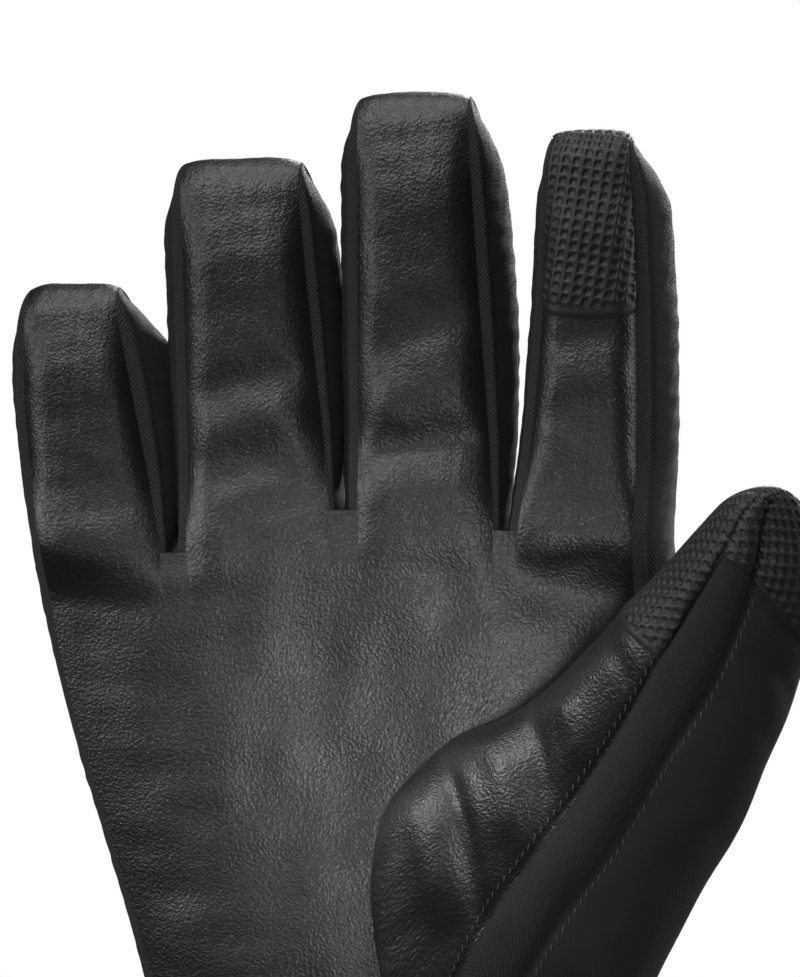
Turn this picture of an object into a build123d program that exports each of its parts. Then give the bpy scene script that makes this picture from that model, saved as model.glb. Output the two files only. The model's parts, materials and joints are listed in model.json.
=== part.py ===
"""Right-hand ski glove, standing on its open cuff with the fingers up and the palm facing -Y.

Each digit is a box finger: a leather strip in front that wraps over the tip, a nylon strip behind, twill
gussets between them, and a padded liner tube inside. The fingers and the thumb bend at the root and at the
middle, the hand bends on the cuff at the elastic wrist, the strap's tab peels open and the pairing clip
swings on its loop. On the leather side of each bend the walls are cut back to a V, so that the segments
can fold, and the leather of the lower segment fills both of its Vs as one soft piece.
"""

from build123d import *
from math import atan, cos, degrees, radians, sin, tan
import os

# ---------------------------------------------------------------- driving dimensions, mm and degrees
SKIN = 1.2  # leather, nylon and twill
WALL = 6.0  # skin and padded liner together
PADDING = 3.0
MEMBRANE = 0.6
PATCH = 0.6  # embossed grip patch on a fingertip
GAP = 0.2  # each side of a cut between segments

AXIS_Y = -3.0  # a bend axis lies a little to the leather side of the digit's middle
NOTCH_MARGIN = 3.0  # how much wider a V is than its bend
REACH = 40.0  # cutting prisms: half their size across a digit
FAR = 150.0  # and their reach along it
ROOT_BEND = 60.0
MIDDLE_BEND = 65.0
FOOT = 28.0  # how far a finger's tube goes on into the hand

# name: x and z of the root bend, lean to the thumb side, width and thickness at the root,
# width lost by the tip, heights of the middle bend and of the tip above the root bend
FINGERS = {
    "little": (-58.9, 197.0, -6.0, 30.6, 27.0, 2.0, 26.0, 50.5),
    "ring": (-27.2, 204.0, -3.0, 30.8, 28.0, 1.5, 34.0, 68.0),
    "middle": (5.8, 205.0, -3.3, 31.0, 28.0, 3.0, 38.0, 80.4),
    "index": (38.2, 201.0, 1.2, 30.4, 28.0, 3.5, 36.0, 75.8),
}
CORNER = 7.0  # a digit's long edges
TIP_ROUND = 11.0  # its tip, seen from the side
TIP_CORNER = 7.0  # its tip, seen from the front
CAP_DEPTH = 5.0  # how far the leather over the tip comes down the gussets
GUSSET_HALF = 10.0  # half the depth of a finger's gussets
PATCH_LENGTH = 36.0

THUMB_ROOT = (30.5, -27.0, 147.5)
THUMB_LEAN = 38.0  # to the side
THUMB_FORWARD = 22.0  # out of the palm's plane
THUMB_SIZE = (31.0, 29.0, 4.0, 38.0, 80.0)  # width, thickness, width lost, middle bend, tip
THUMB_FOOT = 36.0
THUMB_GUSSET_HALF = 6.0
THUMB_CLOSE = 25.0
THUMB_OPEN = 14.0
THUMB_CURL = 45.0

# height, left, right, front and back of the hand's body
HAND = [
    (95.0, -50.0, 47.0, -17.0, 21.0),
    (126.0, -57.0, 52.0, -16.0, 21.0),
    (165.0, -66.5, 53.0, -14.5, 19.0),
    (188.0, -72.0, 54.0, -14.0, 15.5),
]
HAND_CORNER = 12.0
LEATHER_EDGE = -9.0  # the palm leather ends here at the hand's sides
WRIST_HALF = 7.0  # half the height of the elastic at the wrist
ELASTIC_WALL = 3.0

CUFF_WIDTH = 128.0
CUFF_DEPTH = 78.0
CUFF_CORNER = 37.0
CUFF_TOP = HAND[0][0] - 2 * WRIST_HALF
CUFF_LOSS = 14.0  # how far each side comes in from hem to wrist
CUFF_SHELL = 2.0
CUFF_LINING = 3.0
HEM_HEIGHT = 9.0
HEM_PROUD = 1.0

STRAP_HEIGHT = 22.0
STRAP_Z = 58.0
STRAP_THICK = 1.6
STRAP_HALF = 27.0
FIELD_THICK = 0.6
TAB_HEIGHT = 20.0
TAB_LENGTH = 46.0
TAB_THICK = 1.6
WIRE = 2.4

CLIP_Z = 42.0
LOOP_WIDTH = 11.0
LOOP_OUT = 9.0
LOOP_TALL = 8.0
LOOP_THICK = 1.4
CLIP_WIDTH = 19.0
CLIP_LENGTH = 26.0
CLIP_THICK = 3.4
PIN = 1.4


# ---------------------------------------------------------------- frames and cutting prisms
def finger_frame(x, z, lean):
    """A finger's frame at its root bend: local z runs to the tip and local -y faces the palm side."""
    a = radians(lean)
    return Plane(origin=(x, 0, z), x_dir=(cos(a), 0, -sin(a)), z_dir=(sin(a), 0, cos(a)))


def thumb_frame():
    """The thumb's frame: local -y is its leather side, which faces the index finger."""
    a = radians(THUMB_LEAN)
    b = radians(THUMB_FORWARD)
    along = Vector(sin(a) * cos(b), -sin(b), cos(a) * cos(b))
    forward = Vector(0.25, -1, 0)
    across = (forward - along * forward.dot(along)).normalized()
    return Plane(origin=THUMB_ROOT, x_dir=across, z_dir=along)


def side_plane(frame):
    """Sketch x is the digit's local y and sketch y its local z."""
    return Plane(origin=frame.origin, x_dir=frame.y_dir, z_dir=frame.x_dir)


def front_plane(frame):
    """Sketch x is the digit's local x and sketch y its local z."""
    return Plane(origin=frame.origin, x_dir=frame.x_dir, z_dir=-frame.y_dir)


def prism(frame, points, half=REACH):
    """An outline in local y and z, made solid to both sides of the digit."""
    with BuildPart() as block:
        with BuildSketch(side_plane(frame)):
            with BuildLine():
                Polyline(*points, close=True)
            make_face()
        extrude(amount=half, both=True)
    return block.part


def rise(angle, depth):
    """How far a V has opened at a depth from its axis."""
    return depth * tan(radians(angle / 2 + NOTCH_MARGIN))


FRONT = REACH + AXIS_Y
BACK = REACH - AXIS_Y


def above(frame, height, bend, back_bend=0.0):
    """What lies on the tip side of a bend, clear of its V."""
    z = height + GAP
    behind = z + rise(back_bend, BACK) if back_bend else z
    front = z + rise(bend, FRONT)
    return prism(frame, [(AXIS_Y, z), (-REACH, front), (-REACH, FAR), (REACH, FAR), (REACH, behind)])


def below(frame, height, bend, back_bend=0.0):
    """What lies on the root side of a bend, clear of its V."""
    z = height - GAP
    behind = z - rise(back_bend, BACK) if back_bend else z
    front = z - rise(bend, FRONT)
    return prism(frame, [(AXIS_Y, z), (-REACH, front), (-REACH, -FAR), (REACH, -FAR), (REACH, behind)])


def notch(frame, height, bend):
    """The V between them on the leather side."""
    up = rise(bend, FRONT) - GAP
    return prism(frame, [(AXIS_Y - 1, height), (-REACH, height + up), (-REACH, height - up)])


def slab(frame, low, high, bottom=-FAR, top=FAR):
    """Everything between two values of local y and two of local z."""
    return prism(frame, [(low, bottom), (low, top), (high, top), (high, bottom)])


def combine(start, keep=(), drop=(), join=()):
    """A solid cut to the shapes in keep, less those in drop, with those in join added."""
    with BuildPart() as result:
        add(start)
        for shape in keep:
            add(shape, mode=Mode.INTERSECT)
        for shape in drop:
            add(shape, mode=Mode.SUBTRACT)
        for shape in join:
            add(shape)
    return result.part


def write(part, name):
    """Labels a finished piece and writes it."""
    part.label = name
    export_step(part, f"parts/{name}.step")


# ---------------------------------------------------------------- digits
class Digit:
    """A finger or the thumb: its nested forms and the pieces cut from them."""

    def __init__(self, name, frame, size, foot, gusset, root_bend, middle_bend, back_bend=0.0):
        self.name, self.frame, self.foot, self.gusset = name, frame, foot, gusset
        self.width, self.thick, self.lost, self.middle, self.tip = size
        self.root_bend, self.middle_bend, self.back_bend = root_bend, middle_bend, back_bend

    def form(self, inset):
        """The digit's outer form, brought in by inset on every side but the foot."""
        height = self.tip - inset + self.foot
        with BuildPart() as tube:
            with BuildSketch(self.frame.offset(-self.foot)):
                RectangleRounded(self.width - 2 * inset, self.thick - 2 * inset, max(CORNER - inset, 1.5))
            extrude(amount=height, taper=degrees(atan(self.lost / 2 / (self.tip + self.foot))))
            for plane, across, radius in (
                (side_plane(self.frame), self.thick, TIP_ROUND),
                (front_plane(self.frame), self.width, TIP_CORNER),
            ):
                with BuildSketch(plane) as view:
                    with Locations((0, height / 2 - self.foot)):
                        Rectangle(across - 2 * inset, height)
                    fillet(view.vertices().group_by(Axis.Y)[-1], max(radius - inset, 2.0))
                extrude(amount=REACH, both=True, mode=Mode.INTERSECT)
        return tube.part

    def stub(self, inset):
        """The form below the root bend, which is part of the hand."""
        return combine(self.form(inset), keep=[below(self.frame, 0, self.root_bend, self.back_bend)])

    def write_pieces(self):
        """The leather, back, gussets and liner of the lower and the upper segment."""
        frame = self.frame
        outer = self.form(0)
        inner = self.form(SKIN)
        hollow = self.form(WALL)
        shell = combine(outer, drop=[inner])
        liner = combine(inner, drop=[hollow])
        front = slab(frame, -REACH, -self.gusset)
        sides = slab(frame, -self.gusset, self.gusset)
        back = slab(frame, self.gusset, REACH)
        over_tip = slab(frame, -self.gusset, self.gusset, self.tip - CAP_DEPTH)
        low = combine(above(frame, 0, self.root_bend, self.back_bend),
                      keep=[below(frame, self.middle, self.middle_bend)])
        high = above(frame, self.middle, self.middle_bend)
        folds = [combine(outer, keep=[notch(frame, 0, self.root_bend)], drop=[hollow]),
                 combine(outer, keep=[notch(frame, self.middle, self.middle_bend)], drop=[hollow])]
        strip = prism(frame, [(AXIS_Y, 0), (-REACH, GAP - rise(self.root_bend, FRONT)),
                              (-REACH, self.middle - GAP + rise(self.middle_bend, FRONT)),
                              (AXIS_Y, self.middle)])
        pieces = {
            "lower_leather": combine(shell, keep=[front, strip], join=folds),
            "lower_back": combine(shell, keep=[back, low]),
            "lower_gussets": combine(shell, keep=[sides, low]),
            "lower_liner": combine(liner, keep=[low]),
            "upper_leather": combine(shell, keep=[high], drop=[sides, back],
                                     join=[combine(shell, keep=[over_tip])]),
            "upper_back": combine(shell, keep=[back, high]),
            "upper_gussets": combine(shell, keep=[sides, high], drop=[over_tip]),
            "upper_liner": combine(liner, keep=[high]),
        }
        for piece, part in pieces.items():
            write(part, f"{self.name}_{piece}")

    def write_patch(self):
        """The embossed patch over the leather of the tip."""
        start = self.tip - PATCH_LENGTH
        cap = self.tip - CAP_DEPTH
        keep = prism(self.frame, [(-REACH, start), (-self.gusset, start), (-self.gusset, cap),
                                  (self.gusset, cap), (self.gusset, FAR), (-REACH, FAR)],
                     self.width / 2 - CORNER)
        keep = combine(keep, keep=[above(self.frame, self.middle, self.middle_bend)])
        write(combine(self.form(-PATCH), keep=[keep], drop=[self.form(0)]), f"{self.name}_touch_patch")


def make_digits():
    """The four fingers and the thumb."""
    digits = [Digit(name, finger_frame(x, z, lean), size, FOOT, GUSSET_HALF, ROOT_BEND, MIDDLE_BEND)
              for name, (x, z, lean, *size) in FINGERS.items()]
    digits.append(Digit("thumb", thumb_frame(), THUMB_SIZE, THUMB_FOOT, THUMB_GUSSET_HALF, THUMB_CLOSE,
                        THUMB_CURL, THUMB_OPEN))
    return digits


# ---------------------------------------------------------------- hand
def hand_form(inset, digits):
    """The hand's body and the digits' stubs, brought in by inset."""
    with BuildPart() as body:
        for z, left, right, front, back in HAND:
            top = z - inset if z == HAND[-1][0] else z
            width, depth = right - left - 2 * inset, back - front - 2 * inset
            with BuildSketch(Plane.XY.offset(top)):
                with Locations(((left + right) / 2, (front + back) / 2)):
                    RectangleRounded(width, depth, HAND_CORNER - inset)
        loft(ruled=True)
        add(thumb_room(digits[-1], inset), mode=Mode.SUBTRACT)
        for digit in digits:
            add(digit.stub(inset))
    return body.part


def thumb_room(thumb, inset):
    """The space beside the palm that the thumb's lower segment swings through, widened by inset."""
    half = thumb.thick / 2 + 1.5 + inset
    low = rise(THUMB_CLOSE, half + AXIS_Y) + GAP + inset
    behind = rise(THUMB_OPEN, half - AXIS_Y) + GAP + inset
    spread = thumb.middle * tan(radians(THUMB_CLOSE))
    return prism(thumb.frame, [(AXIS_Y, -GAP - inset), (-half, -low), (-half - spread, thumb.middle),
                               (half + spread, thumb.middle), (half, -behind)], thumb.width / 2 + 1 + inset)


def write_hand(digits):
    """The palm leather, the nylon back, the padding, the waterproof membrane and the lining."""
    insets = [0, SKIN, SKIN + PADDING, SKIN + PADDING + MEMBRANE, WALL]
    forms = [hand_form(inset, digits) for inset in insets]
    leather_side = slab(Plane.XY, -REACH * 2, LEATHER_EDGE, -FAR, 2 * FAR)
    with BuildPart() as front:
        with Locations((0, LEATHER_EDGE - FAR / 2, FAR)):
            Box(2 * FAR, FAR, 2 * FAR)
    skin = combine(forms[0], drop=[forms[1]])
    write(combine(skin, keep=[front.part]), "palm_leather")
    write(combine(skin, drop=[front.part]), "hand_back")
    layers = ("hand_padding", "waterproof_membrane", "hand_lining")
    for name, outer, inner in zip(layers, forms[1:], forms[2:]):
        write(combine(outer, drop=[inner]), name)


# ---------------------------------------------------------------- wrist and cuff
def tube(low, high, outer_low, outer_high, wall):
    """A tapered tube between two heights. Each outline is width, depth, corner, centre y and centre x."""
    with BuildPart() as ring:
        for inset, mode in ((0, Mode.ADD), (wall, Mode.SUBTRACT)):
            for z, (width, depth, corner, centre_y, centre_x) in ((low, outer_low), (high, outer_high)):
                with BuildSketch(Plane.XY.offset(z)):
                    with Locations((centre_x, centre_y)):
                        RectangleRounded(width - 2 * inset, depth - 2 * inset, corner - inset)
            loft(ruled=True, mode=mode)
    return ring.part


def cuff_outline(z, inset=0.0):
    """Width, depth, corner and centre of the cuff at a height, brought in by inset."""
    loss = CUFF_LOSS * z / CUFF_TOP + inset
    return (CUFF_WIDTH - 2 * loss, CUFF_DEPTH - 2 * loss, CUFF_CORNER - loss, 0.0, 0.0)


def write_cuff():
    """The gauntlet's shell and lining, the hem binding and the elastic at the wrist."""
    for name, inset, wall in (("gauntlet_shell", 0, CUFF_SHELL), ("gauntlet_lining", CUFF_SHELL, CUFF_LINING)):
        low, high = cuff_outline(HEM_HEIGHT, inset), cuff_outline(CUFF_TOP, inset)
        write(tube(HEM_HEIGHT, CUFF_TOP, low, high, wall), name)
    write(tube(0, HEM_HEIGHT, cuff_outline(0, -HEM_PROUD), cuff_outline(HEM_HEIGHT, -HEM_PROUD),
               CUFF_SHELL + CUFF_LINING + 2 * HEM_PROUD), "hem_binding")
    z, left, right, front, back = HAND[0]
    width, depth, corner, _, _ = cuff_outline(CUFF_TOP)
    low = (width - 2, depth - 2, corner - 1, 0.0, 0.0)
    high = (right - left - 2, back - front - 2, HAND_CORNER - 1, (front + back) / 2, (left + right) / 2)
    write(tube(CUFF_TOP + GAP, z - GAP, low, high, ELASTIC_WALL), "wrist_elastic")


# ---------------------------------------------------------------- wrist strap on the back of the cuff
def strap_plane():
    """Lies on the cuff's sloping back face: sketch x runs to the little finger and sketch y upward."""
    slope = atan(CUFF_LOSS / CUFF_TOP)
    out = (0, cos(slope), sin(slope))
    face_y = CUFF_DEPTH / 2 - CUFF_LOSS * STRAP_Z / CUFF_TOP
    return Plane(origin=(0, face_y, STRAP_Z), x_dir=(-1, 0, 0), z_dir=out)


def plate(offset, thick, left, right, tall, corner):
    """A flat strip on the strap's plane."""
    with BuildPart() as strip:
        with BuildSketch(strap_plane().offset(offset)):
            with Locations(((left + right) / 2, 0)):
                RectangleRounded(right - left, tall, corner)
        extrude(amount=thick)
    return strip.part


def write_strap():
    """The strap, the field that the tab grips, the ring at its end, and the tab with its hook patch."""
    ring_left = -STRAP_HALF - WIRE - 2
    write(plate(0, STRAP_THICK, -STRAP_HALF, STRAP_HALF, STRAP_HEIGHT, 1.5), "strap")
    field = plate(STRAP_THICK, FIELD_THICK, -STRAP_HALF + 8, STRAP_HALF - 1, STRAP_HEIGHT - 3, 2)
    write(field, "strap_loop_field")
    with BuildPart() as ring:
        with BuildSketch(strap_plane().offset(STRAP_THICK)):
            with Locations((ring_left + 5, 0)):
                RectangleRounded(10, STRAP_HEIGHT + 2 * WIRE, 2.5)
                RectangleRounded(10 - 2 * WIRE, STRAP_HEIGHT, 1.2, mode=Mode.SUBTRACT)
        extrude(amount=WIRE)
    write(ring.part, "strap_ring")
    base = STRAP_THICK + FIELD_THICK + GAP
    tab_left = -STRAP_HALF + 7
    tab_right = tab_left + TAB_LENGTH
    write(plate(base, FIELD_THICK, tab_left + 14, tab_right - 4, TAB_HEIGHT - 3, 2), "tab_hook_patch")
    write(plate(base + FIELD_THICK, TAB_THICK, tab_left, tab_right, TAB_HEIGHT, 4), "strap_tab")


# ---------------------------------------------------------------- pairing clip on the thumb side of the cuff
def clip_plane():
    """Runs through the loop's pin: sketch x points outward and sketch y up along the cuff's slope."""
    slope = atan(CUFF_LOSS / CUFF_TOP)
    return Plane(origin=(CUFF_WIDTH / 2 - CUFF_LOSS * CLIP_Z / CUFF_TOP, 0, CLIP_Z),
                 x_dir=(cos(slope), 0, sin(slope)), z_dir=(0, -1, 0))


def write_clip():
    """The webbing loop sewn to the cuff, and the plastic clip that hangs in it."""
    with BuildPart() as loop:
        with BuildSketch(clip_plane()):
            with Locations((LOOP_OUT / 2, 0)):
                RectangleRounded(LOOP_OUT, LOOP_TALL, 2.4)
                hole = (LOOP_OUT - 2 * LOOP_THICK, LOOP_TALL - 2 * LOOP_THICK)
                RectangleRounded(*hole, 1.0, mode=Mode.SUBTRACT)
        extrude(amount=LOOP_WIDTH / 2, both=True)
    write(loop.part, "clip_loop")
    with BuildPart() as clip:
        with BuildSketch(clip_plane()):
            with Locations((LOOP_OUT / 2, 0)):
                Circle(PIN)
        extrude(amount=CLIP_WIDTH / 2, both=True)
        with BuildSketch(clip_plane()):
            with Locations((LOOP_OUT / 2, -CLIP_LENGTH / 2 + PIN)):
                RectangleRounded(CLIP_THICK, CLIP_LENGTH, 1.2)
        extrude(amount=CLIP_WIDTH / 2, both=True)
        with BuildSketch(clip_plane()):
            with Locations((LOOP_OUT / 2, 0)):
                Rectangle(3 * CLIP_THICK, 2 * (LOOP_TALL / 2 + 1.2))
        extrude(amount=LOOP_WIDTH / 2 + 0.8, both=True, mode=Mode.SUBTRACT)
        with BuildSketch(clip_plane()):
            with Locations((LOOP_OUT / 2, 0)):
                Circle(PIN)
        extrude(amount=CLIP_WIDTH / 2, both=True)
    write(clip.part, "pairing_clip")


os.makedirs("parts", exist_ok=True)
DIGITS = make_digits()
for one in DIGITS:
    one.write_pieces()
for one in DIGITS:
    if one.name in ("index", "thumb"):
        one.write_patch()
write_hand(DIGITS)
write_cuff()
write_strap()
write_clip()
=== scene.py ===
"""The looks of the right-hand ski glove: sewn leather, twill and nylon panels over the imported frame.

Shapes are worked out in millimetres. A panel is a grid of points whose rows run along a seam and whose
columns run across it; neighbouring panels share their border points. "View x" is a position across the
main camera's view, and from_view() turns it into the row's x at a given depth.
"""

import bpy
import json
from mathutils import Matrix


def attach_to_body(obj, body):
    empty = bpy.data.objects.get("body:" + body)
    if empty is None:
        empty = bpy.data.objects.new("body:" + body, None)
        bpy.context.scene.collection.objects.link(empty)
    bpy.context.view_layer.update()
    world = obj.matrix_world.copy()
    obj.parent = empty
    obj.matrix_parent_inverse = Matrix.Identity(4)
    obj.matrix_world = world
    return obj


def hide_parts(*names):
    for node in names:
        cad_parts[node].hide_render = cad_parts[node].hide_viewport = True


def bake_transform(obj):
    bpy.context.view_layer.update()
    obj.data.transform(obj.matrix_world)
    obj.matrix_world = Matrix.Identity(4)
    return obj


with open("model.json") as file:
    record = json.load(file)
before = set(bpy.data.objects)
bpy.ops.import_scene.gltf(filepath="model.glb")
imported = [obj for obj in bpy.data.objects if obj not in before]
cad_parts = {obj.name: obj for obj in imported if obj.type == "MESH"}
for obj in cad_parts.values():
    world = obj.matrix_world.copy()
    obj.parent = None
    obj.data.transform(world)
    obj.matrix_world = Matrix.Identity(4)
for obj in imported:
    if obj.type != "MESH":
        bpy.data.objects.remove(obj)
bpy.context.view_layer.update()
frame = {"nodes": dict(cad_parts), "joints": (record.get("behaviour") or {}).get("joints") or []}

import json
import math
from math import cos, radians, sin
import bpy
import numpy as np
from mathutils import Vector

MM = 0.001
VIEW_AZIMUTH = radians(9.0)
STRAP_Z = 58.0  # height of the middle of the cuff's strap
PATCH_FOOT = 241.0  # height of the foot of the index finger's grip patch
WRIST_LOW, WRIST_HIGH = 79.0, 99.0  # heights between which the wrist is gathered
WRIST_TURN = ((0, 0, 81.5), (0, 0, 95.0))  # where the cloth turns from the cuff to the hand
SHIRR_PITCH = 4.0


# ---------------------------------------------------------------- numbers and curves
def from_view(across, y):
    """The row's x of a point seen at a view x, when its depth is y."""
    return (across - y * sin(VIEW_AZIMUTH)) / cos(VIEW_AZIMUTH)


def smooth(value, low, high):
    """0 below low, 1 above high, and a soft step between."""
    t = np.clip((value - low) / (high - low), 0, 1)
    return t * t * (3 - 2 * t)


def fit(points, degree=2):
    """A smooth function of height through measured (height, value) pairs."""
    z, v = np.array(points, float).T
    middle = z.mean()
    p = np.polyfit(z - middle, v, min(degree, len(z) - 1))
    low, high = z.min() - 6, z.max() + 6
    return lambda q: np.polyval(p, np.clip(q, low, high) - middle)


def spline(points, count):
    """Points evenly spaced along a Catmull-Rom curve through the given ones."""
    p = np.array(points, float)
    ends = np.vstack([2 * p[0] - p[1], p, 2 * p[-1] - p[-2]])
    t = np.linspace(0, 1, 24, endpoint=False)[:, None]
    fine = []
    for a, b, c, d in zip(ends[:-3], ends[1:-2], ends[2:-1], ends[3:]):
        fine.append(0.5 * (2 * b + (c - a) * t + (2 * a - 5 * b + 4 * c - d) * t**2
                           + (3 * b - a - 3 * c + d) * t**3))
    fine = np.vstack(fine + [p[-1:]])
    return resample(fine, count)


def resample(line, count):
    """The same line with evenly spaced points."""
    step = np.r_[0, np.cumsum(np.linalg.norm(np.diff(line, axis=0), axis=1))]
    at = np.linspace(0, step[-1], count)
    return np.stack([np.interp(at, step, line[:, k]) for k in range(line.shape[1])], 1)


def smoothed(line, times=12):
    """A line with its small steps evened out."""
    for _ in range(times):
        line[1:-1] = (line[:-2] + 2 * line[1:-1] + line[2:]) / 4
    return line


def noise(p, scale, seed=0, octaves=2):
    """Smooth seeded noise of points (n, 3), about -1 to 1, with features of the given size."""
    total = np.zeros(len(p))
    for octave in range(octaves):
        rng = np.random.default_rng(100 * seed + octave)
        waves = rng.normal(size=(9, 3)) * (2.0**octave) / scale
        phase = rng.uniform(0, 2 * math.pi, 9)
        total += np.sin(p @ waves.T * 2.2 + phase).sum(1) / 5.0 / 1.8**octave
    return total


def normals_of(P):
    """Unit normals of a grid of points (rows, columns, 3)."""
    du = np.gradient(P, axis=1)
    dv = np.gradient(P, axis=0)
    n = np.cross(du, dv)
    length = np.linalg.norm(n, axis=2, keepdims=True)
    return n / np.maximum(length, 1e-9)


# ---------------------------------------------------------------- meshes
def new_object(name, verts, faces, material, flat=None, normals=None, smooth_shade=True):
    """A mesh object from points in mm. flat holds each point's place on the flat cloth, in mm."""
    mesh = bpy.data.meshes.new(name)
    mesh.from_pydata((np.asarray(verts) * MM).tolist(), [], faces)
    mesh.materials.append(material)
    mesh.polygons.foreach_set("use_smooth", [smooth_shade] * len(mesh.polygons))
    if flat is not None:
        layer = mesh.attributes.new("cloth", "FLOAT_VECTOR", "POINT")
        layer.data.foreach_set("vector", np.asarray(flat, np.float32).ravel())
    mesh.update()
    if normals is not None:
        mesh.normals_split_custom_set_from_vertices(np.asarray(normals).tolist())
    obj = bpy.data.objects.new(name, mesh)
    bpy.context.scene.collection.objects.link(obj)
    return obj


def grid_faces(rows, columns, start=0):
    """Quads of a grid of points numbered row by row."""
    a = start + (np.arange(rows - 1)[:, None] * columns + np.arange(columns - 1)[None, :]).ravel()
    return np.stack([a, a + 1, a + 1 + columns, a + columns], 1)


def panel(name, P, material, flat, normals=None, rows=None, turn=False, edge=None):
    """One sewn panel from a grid of points. rows picks some of its rows, with the whole grid's normals.
    edge is the material of its first and last two columns."""
    N = normals_of(P) if normals is None else normals
    if turn:
        N = -N
    if rows is not None:
        P, N, flat = P[rows], N[rows], flat[rows]
    faces = grid_faces(*P.shape[:2])
    if turn:
        faces = faces[:, ::-1]
    obj = new_object(name, P.reshape(-1, 3), faces.tolist(), material, flat.reshape(-1, 3), N.reshape(-1, 3))
    if edge is not None:
        obj.data.materials.append(edge)
        column = np.tile(np.arange(P.shape[1] - 1), P.shape[0] - 1)
        at_edge = (column < 5) | (column > P.shape[1] - 7)
        obj.data.polygons.foreach_set("material_index", at_edge.astype(np.int32))
    return obj


def flat_of(P, offset=(0, 0)):
    """Each point's place on the flat cloth: mm across its row and mm along the middle column."""
    across = np.linalg.norm(np.diff(P, axis=1), axis=2)
    u = np.concatenate([np.zeros((P.shape[0], 1)), np.cumsum(across, 1)], 1)
    u -= u[:, P.shape[1] // 2][:, None]
    along = np.linalg.norm(np.diff(P[:, P.shape[1] // 2], axis=0), axis=1)
    v = np.r_[0, np.cumsum(along)][:, None] + 0 * u
    return np.stack([u + offset[0], v + offset[1], 0 * u], 2)


# ---------------------------------------------------------------- materials
class Nodes:
    """Short names for making a material's nodes."""

    def __init__(self, name):
        self.material = bpy.data.materials.new(name)
        self.material.use_nodes = True
        self.tree = self.material.node_tree
        self.shader = self.tree.nodes["Principled BSDF"]
        cloth = self.tree.nodes.new("ShaderNodeAttribute")
        cloth.attribute_name = "cloth"
        self.cloth = cloth.outputs["Vector"]

    def node(self, kind, inputs=(), **settings):
        made = self.tree.nodes.new("ShaderNode" + kind)
        for key, value in settings.items():
            setattr(made, key, value)
        for key, value in dict(inputs).items():
            if isinstance(value, bpy.types.NodeSocket):
                self.tree.links.new(value, made.inputs[key])
            else:
                made.inputs[key].default_value = value
        return made

    def math(self, operation, *values):
        return self.node("Math", dict(enumerate(values)), operation=operation).outputs[0]

    def ramp(self, value, low, high, to_low=0.0, to_high=1.0):
        return self.node("MapRange", {0: value, 1: low, 2: high, 3: to_low, 4: to_high}).outputs[0]

    def vector(self, operation, a, b):
        return self.node("VectorMath", {0: a, 1: b}, operation=operation).outputs[0]

    def noise(self, scale, detail=2.0, vector=None, roughness=0.5):
        made = self.node("TexNoise", {"Vector": vector or self.cloth, "Scale": scale, "Detail": detail,
                                      "Roughness": roughness})
        return made.outputs["Fac"]

    def colour(self, factor, dark, light):
        mix = self.node("Mix", {"Factor": factor}, data_type="RGBA")
        mix.inputs[6].default_value = (*dark, 1)
        mix.inputs[7].default_value = (*light, 1)
        self.tree.links.new(mix.outputs[2], self.shader.inputs["Base Color"])

    def bump(self, height, distance, strength=1.0, before=None):
        inputs = {"Height": height, "Distance": distance, "Strength": strength}
        if before is not None:
            inputs["Normal"] = before
        return self.node("Bump", inputs).outputs[0]

    def finish(self, normal, **fixed):
        self.tree.links.new(normal, self.shader.inputs["Normal"])
        for key, value in fixed.items():
            self.shader.inputs[key.replace("_", " ")].default_value = value
        return self.material

    def rough(self, value):
        self.tree.links.new(value, self.shader.inputs["Roughness"])


def leather(name="leather"):
    """Black coated leather with a pebbled grain of short worm-like cells."""
    m = Nodes(name)
    warp = m.node("TexNoise", {"Vector": m.cloth, "Scale": 0.7, "Detail": 2.0})
    bent = m.vector("ADD", m.cloth, m.node("VectorMath", {0: warp.outputs["Color"], "Scale": 0.9},
                                           operation="SCALE").outputs[0])
    cells = m.node("TexVoronoi", {"Vector": bent, "Scale": 1.55, "Smoothness": 0.55, "Randomness": 1.0},
                   feature="SMOOTH_F1", voronoi_dimensions="3D").outputs["Distance"]
    fine = m.node("TexVoronoi", {"Vector": bent, "Scale": 3.1, "Smoothness": 0.5},
                  feature="SMOOTH_F1").outputs["Distance"]
    grain = m.math("ADD", m.math("MULTIPLY", cells, 1.0), m.math("MULTIPLY", fine, 0.35))
    broad = m.noise(0.05, 4.0)
    height = m.ramp(grain, 0.15, 0.95, 1.0, 0.0)
    m.colour(m.math("ADD", m.math("MULTIPLY", height, 0.55), m.math("MULTIPLY", broad, 0.4)),
             (0.0018, 0.0018, 0.002), (0.0045, 0.0045, 0.0048))
    m.rough(m.ramp(m.math("ADD", m.math("MULTIPLY", height, 0.5), broad), 0.3, 1.2, 0.46, 0.34))
    pores = m.bump(m.noise(3.2, 3.0), 0.00008, 0.5)
    return m.finish(m.bump(height, 0.00013, 0.7, pores), Specular_IOR_Level=0.5)


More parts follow.
